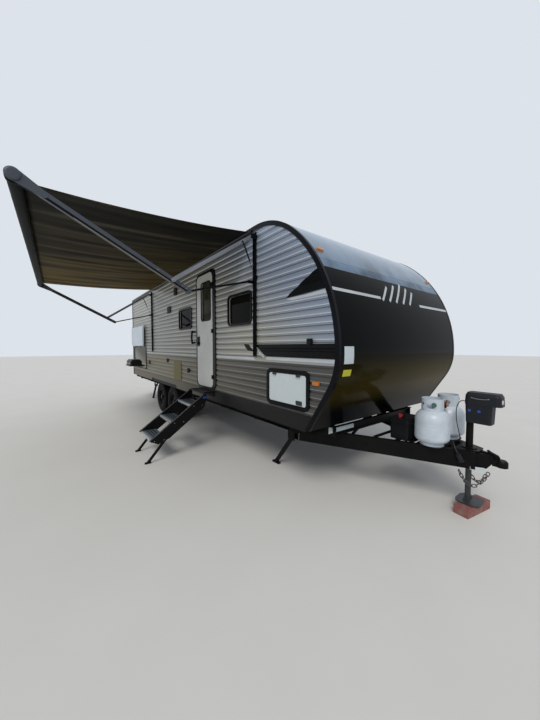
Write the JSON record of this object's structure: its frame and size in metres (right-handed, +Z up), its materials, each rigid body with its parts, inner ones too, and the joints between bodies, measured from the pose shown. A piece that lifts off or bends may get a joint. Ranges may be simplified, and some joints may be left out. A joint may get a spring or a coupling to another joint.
{
  "type": "travel caravan",
  "caption": "Tandem-axle travel caravan with rounded front, awning on folding arms, entry door and folding steps, slide-out outdoor griddle, baggage doors, tongue jack and stabilizer legs.",
  "frame": {"origin": "on the ground under the tongue jack, on the centre plane", "axes": "+X forward towards the hitch, +Y to the left, +Z up"},
  "size_m": [9.088, 4.652, 3.297],
  "materials": {
    "frame_black": "semi-gloss painted steel",
    "arm_grey": "anodised extrusion",
    "awning_cloth": "woven vinyl coated cloth",
    "gloss_white_panel": "satin enamelled aluminium sheet",
    "black_plastic": "moulded plastic",
    "dark_glass": "tinted safety glass",
    "trim_black": "satin extruded trim",
    "roof_membrane": "light roof membrane",
    "cap_black": "glossy fibreglass",
    "cylinder_white": "white enamel",
    "hose_rubber": "black rubber",
    "red_wood": "red stained timber",
    "jack_grey": "slate grey housing",
    "griddle_steel": "black enamel",
    "lamp_amber": "amber lens",
    "rim_black": "gloss black steel wheel",
    "grey_plastic": "moulded plastic",
    "galvanised": "zinc plated steel",
    "siding_grey": "satin enamelled aluminium siding",
    "tread_grey": "grip coated tread",
    "tyre_rubber": "matt tread rubber"
  },
  "bodies": {
    "caravan": {"a_frame": "frame_black", "awning_channels": "arm_grey", "awning_fabric": "awning_cloth", "axles_and_springs": "frame_black", "battery_box": "black_plastic", "coupler": "frame_black", "cross_members": "frame_black", "cylinder_rack": "frame_black", "edge_trim": "trim_black", "floor": "roof_membrane", "frame_brackets": "frame_black", "front_cap": "cap_black", "gas_cylinders": "cylinder_white", "gas_hoses": "hose_rubber", "gas_regulator": "black_plastic", "jack_head": "jack_grey", "jack_post": "frame_black", "kitchen_tub": "gloss_white_panel", "lamps": "lamp_amber", "left_wall": "gloss_white_panel", "main_rails": "frame_black", "opening_frames": "trim_black", "rear_wall": "gloss_white_panel", "right_wall": "gloss_white_panel", "roof": "roof_membrane", "roof_units": "grey_plastic", "safety_chains": "galvanised", "siding": "siding_grey", "tow_cable": "hose_rubber", "tow_plug": "black_plastic", "wall_fittings": "black_plastic", "window_glass": "dark_glass"},
    "jack_leg": {"jack_leg": "frame_black", "jack_block": "red_wood"},
    "entry_door": {"entry_door": "gloss_white_panel", "door_glass": "dark_glass", "door_hardware": "black_plastic"},
    "entry_steps": {"step_rails": "frame_black", "step_treads": "tread_grey"},
    "baggage_door_right": {"baggage_door_right": "gloss_white_panel"},
    "baggage_door_left": {"baggage_door_left": "gloss_white_panel"},
    "kitchen_door": {"kitchen_door": "gloss_white_panel"},
    "kitchen_griddle": {"kitchen_griddle": "griddle_steel"},
    "awning_beams": {"awning_beams": "arm_grey"},
    "awning_lower_arms": {"awning_lower_arms": "frame_black"},
    "awning_arms": {"awning_arms": "arm_grey", "awning_roller": "arm_grey"},
    "awning_struts": {"awning_struts": "frame_black"},
    "wheel_front_right": {"tyre_front_right": "tyre_rubber", "rim_front_right": "rim_black"},
    "wheel_rear_right": {"tyre_rear_right": "tyre_rubber", "rim_rear_right": "rim_black"},
    "wheel_front_left": {"tyre_front_left": "tyre_rubber", "rim_front_left": "rim_black"},
    "wheel_rear_left": {"tyre_rear_left": "tyre_rubber", "rim_rear_left": "rim_black"},
    "stabilizer_front_right": {"stabilizer_front_right": "frame_black"},
    "stabilizer_front_left": {"stabilizer_front_left": "frame_black"},
    "stabilizer_rear_right": {"stabilizer_rear_right": "frame_black"},
    "stabilizer_rear_left": {"stabilizer_rear_left": "frame_black"}
  },
  "joints": [
    {"name": "wheel_front_right_spin", "type": "hinge", "parent": "caravan", "child": "wheel_front_right", "pos_m": [-5.19, -1.037, 0.36], "axis": [0, 1, 0], "continuous": true},
    {"name": "wheel_rear_right_spin", "type": "hinge", "parent": "caravan", "child": "wheel_rear_right", "pos_m": [-6.05, -1.037, 0.36], "axis": [0, 1, 0], "continuous": true},
    {"name": "wheel_front_left_spin", "type": "hinge", "parent": "caravan", "child": "wheel_front_left", "pos_m": [-5.19, 1.037, 0.36], "axis": [0, 1, 0], "continuous": true},
    {"name": "wheel_rear_left_spin", "type": "hinge", "parent": "caravan", "child": "wheel_rear_left", "pos_m": [-6.05, 1.037, 0.36], "axis": [0, 1, 0], "continuous": true},
    {"name": "entry_door_hinge", "type": "hinge", "parent": "caravan", "child": "entry_door", "pos_m": [-3, -1.24, 1.83], "axis": [0, 0, 1], "range_deg": [0, 165]},
    {"name": "entry_steps_pivot", "type": "hinge", "parent": "caravan", "child": "entry_steps", "pos_m": [-3.265, -1.4, 0.85], "axis": [-1, 0, 0], "range_deg": [0, 126]},
    {"name": "baggage_door_right_hinge", "type": "hinge", "parent": "caravan", "child": "baggage_door_right", "pos_m": [-1.28, -1.238, 1.2925], "axis": [-1, 0, 0], "range_deg": [0, 170]},
    {"name": "baggage_door_left_hinge", "type": "hinge", "parent": "caravan", "child": "baggage_door_left", "pos_m": [-1.28, 1.238, 1.2925], "axis": [1, 0, 0], "range_deg": [0, 170]},
    {"name": "kitchen_door_hinge", "type": "hinge", "parent": "caravan", "child": "kitchen_door", "pos_m": [-7.76, -1.246, 1.584], "axis": [-1, 0, 0], "range_deg": [-180, 0]},
    {"name": "kitchen_griddle_slide", "type": "slide", "parent": "caravan", "child": "kitchen_griddle", "axis": [0, 1, 0], "range_m": [0, 0.3301]},
    {"name": "awning_beam_pivot", "type": "hinge", "parent": "caravan", "child": "awning_beams", "pos_m": [-4.12, -1.29, 2.86], "axis": [1, 0, 0], "range_deg": [0, 55.48], "deforming": ["awning_fabric"]},
    {"name": "awning_lower_arm_pivot", "type": "hinge", "parent": "caravan", "child": "awning_lower_arms", "pos_m": [-4.12, -1.29, 2.34938], "axis": [1, 0, 0], "range_deg": [0, 75.01]},
    {"name": "awning_arm_pivot", "type": "hinge", "parent": "awning_beams", "child": "awning_arms", "pos_m": [-4.12, -2.2104, 2.22686], "axis": [1, 0, 0], "range_deg": [-118.08, 0]},
    {"name": "awning_strut_pivot", "type": "hinge", "parent": "awning_beams", "child": "awning_struts", "pos_m": [-4.12, -1.42182, 2.76932], "axis": [1, 0, 0], "range_deg": [-75.84, 0]},
    {"name": "tongue_jack_slide", "type": "slide", "parent": "caravan", "child": "jack_leg", "axis": [0, 0, 1], "range_m": [-0.17, 0.28], "deforming": ["safety_chains"]},
    {"name": "stabilizer_front_right_pivot", "type": "hinge", "parent": "caravan", "child": "stabilizer_front_right", "pos_m": [-1.64, -0.8, 0.452], "axis": [0, 1, 0], "range_deg": [0, 50]},
    {"name": "stabilizer_front_left_pivot", "type": "hinge", "parent": "caravan", "child": "stabilizer_front_left", "pos_m": [-1.64, 0.8, 0.452], "axis": [0, 1, 0], "range_deg": [0, 50]},
    {"name": "stabilizer_rear_right_pivot", "type": "hinge", "parent": "caravan", "child": "stabilizer_rear_right", "pos_m": [-7.72, -0.8, 0.452], "axis": [0, 1, 0], "range_deg": [0, 50]},
    {"name": "stabilizer_rear_left_pivot", "type": "hinge", "parent": "caravan", "child": "stabilizer_rear_left", "pos_m": [-7.72, 0.8, 0.452], "axis": [0, 1, 0], "range_deg": [0, 50]}
  ],
  "couplings": [
    {"joint": "kitchen_griddle_slide", "follows": "kitchen_door_hinge", "m_per_rad": -0.10504},
    {"joint": "awning_lower_arm_pivot", "follows": "awning_beam_pivot", "ratio": 1.3485},
    {"joint": "awning_arm_pivot", "follows": "awning_beam_pivot", "ratio": -2.1248},
    {"joint": "awning_strut_pivot", "follows": "awning_beam_pivot", "ratio": -1.3635}
  ]
}
